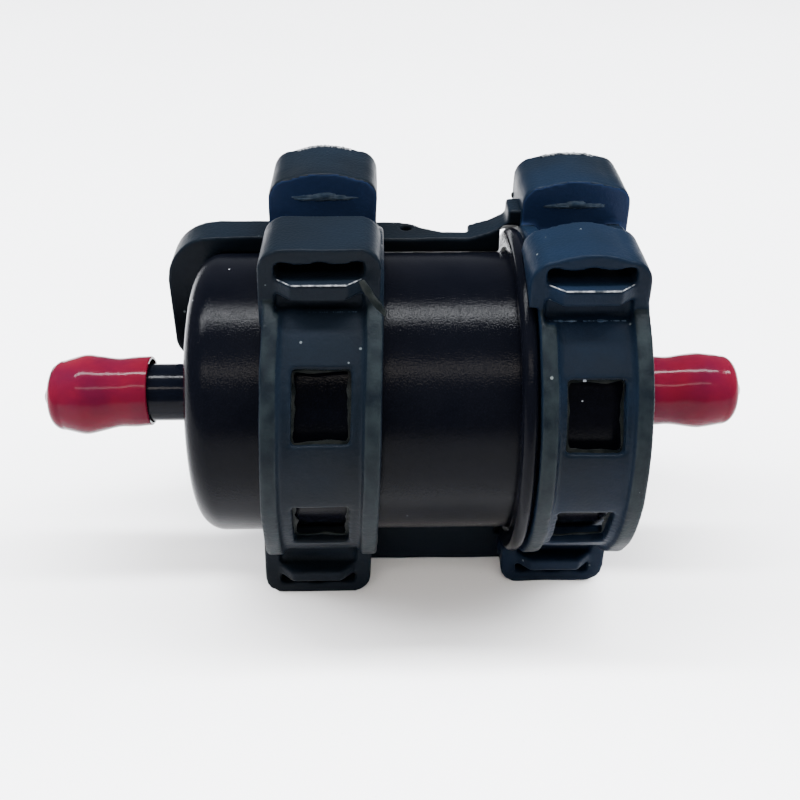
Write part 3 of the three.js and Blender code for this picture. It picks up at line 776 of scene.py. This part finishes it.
def torn_lens(bm, lug, seed):
    """The closed slot in the front of a tall lug, with a small peak in its middle."""
    middle = (lug["shift"], lug["front"], lug["top"] - LENS_BELOW)
    for offset, size, step, detail in LENS:
        scrap(bm, tuple(m + o for m, o in zip(middle, offset)), size, seed + step, detail)


def ragged_edge(bm, lug, seed):
    """Small flat lumps along the top back edge of a lug."""
    left, right, lift, count = -3.6, 3.4, 0.16, 15
    for i in range(count):
        x = lug["shift"] + left + (right - left) * i / (count - 1)
        rise = lug["top"] - lug["crown"] * ((x - lug["shift"]) / (lug["width"] / 2 - LUG_CORNER)) ** 2
        high = lift * (0.5 + noise.noise(Vector((seed, i * 1.7, 0))))
        wide = 0.32 + 0.3 * noise.noise(Vector((i * 2.3, seed, 0)))
        scrap(bm, (x, lug["back"] - 1.0 + high, rise + 0.02), (wide, 0.28, 0.11 + max(0.0, high)), seed + i)


def rod(bm, start, end, radius):
    """Adds a thin straight rod between two points."""
    start, end = Vector(start), Vector(end)
    turn = (end - start).to_track_quat("Z", "Y").to_matrix().to_4x4()
    bmesh.ops.create_cone(bm, cap_ends=True, segments=8, radius1=radius, radius2=radius,
                          depth=(end - start).length, matrix=Matrix.Translation((start + end) / 2) @ turn)


def painted_tongue_highlight(bm, lug):
    """A painted highlight: thin pale rods along the top edge of a tongue."""
    front, shift = lug["front"], lug["shift"]
    high = lug["top"] - SLOT["below"] - SLOT["height"] - 0.08
    wide, narrow = TONGUE["base"] / 2 - 0.2, TONGUE["front"] / 2 - 0.1
    tip = front - TONGUE["length"] + 0.12
    corners = [(shift - wide, front, high), (shift - narrow, tip, high), (shift + narrow, tip, high),
               (shift + wide, front, high)]
    for (start, end), radius in zip(zip(corners, corners[1:]), (0.07, 0.1, 0.07)):
        rod(bm, start, end, radius)


def ledge_dust(bm, lug, seed, coarse):
    """A broken line of pale crumbs along the edge of the ledge below a tongue."""
    floor = waist_height(lug) - LEDGE_DEPTH
    edge = -((BAND["waist"] ** 2 - floor ** 2) ** 0.5)
    count = 40
    for i in range(count):
        amount = noise.noise(Vector((seed, i * 1.9, 3.0)))
        if amount > -0.1:
            x = lug["shift"] - LEDGE + 2 * LEDGE * (i + 0.5) / count
            size = coarse * (0.6 + 1.6 * amount)
            scrap(bm, (x, edge + 0.05, floor - 0.06), (1.6 * size, size, 0.7 * size), seed + i)


def window_film(bm, angle, seed):
    """A thin torn film round the inside of a window, held halfway down its walls."""
    w, h, depth = WINDOW["width"] / 2, WINDOW["height"] / 2, -BAND["inner"] - 0.9
    steps = 60
    outer, inner = [], []
    for i in range(steps):
        a = 2 * pi * i / steps
        reach = 1 / max(abs(cos(a)) / w, abs(sin(a)) / h)
        torn = 0.45 + 0.5 * noise.noise(Vector((cos(a) * 2 + seed, sin(a) * 2, seed)))
        y = depth - 0.25 * noise.noise(Vector((a * 2, seed, 0)))
        for ring, distance in ((outer, reach + 0.3), (inner, reach - max(0.12, torn))):
            ring.append(bm.verts.new((distance * cos(a), y, distance * sin(a))))
    corners = zip(outer, outer[1:] + outer[:1], inner[1:] + inner[:1], inner)
    faces = [bm.faces.new(four) for four in corners]
    bmesh.ops.transform(bm, matrix=Matrix.Rotation(-radians(angle), 4, "X"), verts=outer + inner)
    bmesh.ops.solidify(bm, geom=faces, thickness=0.16)


def scraps(bm, spec, kind, material):
    """Makes one piece of a band's scraps of one kind."""
    bm.transform(leaning(spec))
    place(bm, spec["name"].replace("band", kind), material, *CUSHION, sharp=SOFT)


def make_flash(spec):
    """The torn lens that closes a tall lug's slot, and the crumbs on the ledge."""
    bm = bmesh.new()
    torn_lens(bm, spec["top_back"], spec["seed"])
    ledge_dust(bm, spec["top_front"], spec["seed"], spec["dust"])
    scraps(bm, spec, "flash", FLASH)


def make_films(spec):
    """The dark films in the two windows, and two dark lumps down the tall lug's side."""
    bm = bmesh.new()
    back = spec["top_back"]
    edge = back["shift"] - back["width"] / 2
    for high, deep, long in ((8.9, 0.9, 0.9), (6.1, 1.3, 0.5)):
        scrap(bm, (edge, back["back"] - deep, back["top"] - high), (0.28, 0.4, long), spec["seed"] + high, 3)
    for side in (-1, 1):
        window_film(bm, spec["turn"] + side * WINDOW["angle"], spec["seed"] + side)
    scraps(bm, spec, "window_films", LOOSE)


def make_pale_scraps_and_highlight(spec):
    """The palest pieces: the ragged back edge of the tall lug, and a painted highlight along the top edge of
    the tongue.
    """
    bm = bmesh.new()
    ragged_edge(bm, spec["top_back"], spec["seed"])
    painted_tongue_highlight(bm, spec["top_front"])
    scraps(bm, spec, "torn_edges", PALE_FLASH_AND_HIGHLIGHT)


for band in (LEFT, RIGHT):
    make_flash(band)
    make_films(band)
    make_pale_scraps_and_highlight(band)


# %% A loose strip beside the left tongue
def make_loose_strip():
    """A torn sliver that starts beside the tongue and hangs over the right rib."""
    bm = bmesh.new()
    spine = [  # x, y, z and half the width
        (-4.2, -12.0, 23.8, 0.3), (-3.6, -12.5, 22.9, 0.42), (-3.0, -13.0, 22.1, 0.36),
        (-2.3, -13.6, 21.4, 0.42), (-1.7, -14.1, 20.8, 0.3), (-1.4, -14.4, 20.3, 0.08)]
    rows = [[bm.verts.new((x - half, y, z - half * 0.5)), bm.verts.new((x + half, y - 0.15, z + half * 0.5))]
            for x, y, z, half in spine]
    faces = [bm.faces.new((a[0], a[1], b[1], b[0])) for a, b in zip(rows, rows[1:])]
    bmesh.ops.recalc_face_normals(bm, faces=faces)
    bmesh.ops.solidify(bm, geom=faces, thickness=0.35)
    bmesh.ops.recalc_face_normals(bm, faces=bm.faces)
    bmesh.ops.bevel(bm, geom=bm.edges[:], affect="EDGES", offset=0.08, segments=2, profile=0.5, material=-1)
    place(bm, "loose_strip", LOOSE, *CUSHION, sharp=SOFT)


make_loose_strip()

# %% [markdown]
# ## Bridges and flap
# The bands are joined by two bridges. The upper one runs behind the top of the can, carries an ear
# with a small hole, and steps over the rolled seam to a shoulder beside the tall lug.
# Beyond the left band it turns down over the closed end of the can as a flap that stops the can
# from sliding out.

# %% Upper bridge with its ear and flap, and the lower bridge
BRIDGE = {"front": 9.5, "back": 11.8, "wide": 15.1, "top": 18.9, "under": 12.0, "seam_depth": 4.5}
STEP = [(0.6, 21.0), (-1.6, 19.8), (-4.6, BRIDGE["top"])]  # x from the seam, and height
SHOULDER = ((15.7, 18.4), (BRIDGE["front"] + 0.1, 14.0), (BRIDGE["under"] + 6, 23.0))
EAR = {"end": 5.5, "hole": 0.8, "hole_place": (1.75, 13.3, BRIDGE["top"])}
FLAP = {"left": -31.85, "right": CAN_LEFT - 0.25, "top": 19.2, "bottom": 0.0, "corner": 7.0}
SILL = ((LEFT["centre"], RIGHT["centre"]), (-5.4, -2.0), (-27.0, -20.0))
BRIDGE_SEAM = (SEAM_LEFT - SEAM_ROOM, SEAM_LEFT + 2.3)


def make_flap():
    """The flap over the can's closed end: one large round corner, and a round lower tip."""
    front, wide, under = BRIDGE["front"], BRIDGE["wide"], BRIDGE["under"]
    left, right, corner = FLAP["left"], FLAP["right"], FLAP["corner"]
    half = (right - left) / 2
    outline = [(LEFT["centre"], under), (LEFT["centre"], FLAP["top"]),
               *arc((left + corner, FLAP["top"] - corner), corner, 90, 180),
               *arc(((left + right) / 2, FLAP["bottom"] + half), half, 180, 360), (right, under)]
    return plate(outline, front, wide - front, "Y")


def make_upper_bridge():
    front, back, wide, top, under = (BRIDGE[k] for k in ("front", "back", "wide", "top", "under"))
    left, right, end, inner = LEFT["centre"], RIGHT["centre"], EAR["end"], BAND["inner"]
    strip = block((left, right), (front, back), (under, top))
    step = [(SEAM_LEFT + x, z) for x, z in STEP]
    over_seam = plate([(step[-1][0], under), (right, under), (right, 21.2), *step],
                      front, BRIDGE["seam_depth"], "Y")
    ear = plate([(left, front + 1), (end + 1.5, front + 1), (end + 1.5, back), (end - 1.2, back + 1.6),
                 (end - 3, wide - 0.3), (end - 4.6, wide), (left, wide)], under + 2, top - under - 2, "Z")
    corner = CORNER + 0.2
    bore = spun([(CAN_LEFT - 0.2, 0), *arc((CAN_LEFT + CORNER, inner - corner), corner, 180, 90),
                 (BRIDGE_REACH, inner), (BRIDGE_REACH, 0)], CUT_ROUND)
    drill = bmesh.new()
    bmesh.ops.create_cone(drill, cap_ends=True, segments=32, radius1=EAR["hole"], radius2=EAR["hole"],
                          depth=20, matrix=Matrix.Translation(EAR["hole_place"]))
    bm = moulded("upper_bridge", [strip, over_seam, block(*SHOULDER), ear, make_flap()],
                 [bore, seam_tool(*BRIDGE_SEAM), drill])
    place(uneven(bm, 5.0), "upper_bridge", RUBBER, *CUSHION, sharp=SOFT)


def make_lower_bridge():
    bm = moulded("lower_bridge", [block(*SILL)], [seam_tool(*BRIDGE_SEAM, slant=0.6)])
    place(uneven(bm, 7.0), "lower_bridge", RUBBER, *CUSHION, sharp=SOFT)


make_upper_bridge()
make_lower_bridge()

# %% [markdown]
# ## Pieces inside the can
# The element and its plates are sealed inside, so no light reaches them. They keep the shapes of
# the fixed model and get the finish of their real material for anyone who opens the can.

# %% Finishes of the inner pieces
INSIDE = {
    "seam_gasket": SEAL, "element_seal": SEAL, "pleated_paper": PAPER, "paper_clip": TIN,
    "centre_tube": TIN, "inlet_end_plate": TIN, "outlet_end_plate": TIN,
    "inlet_glue_bed": PLASTISOL, "outlet_glue_bed": PLASTISOL, "support_plate": NYLON,
}
for node, material in INSIDE.items():
    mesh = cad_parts[node].data
    mesh.materials.clear()
    mesh.materials.append(material)
print("finished", len(INSIDE), "inner pieces")
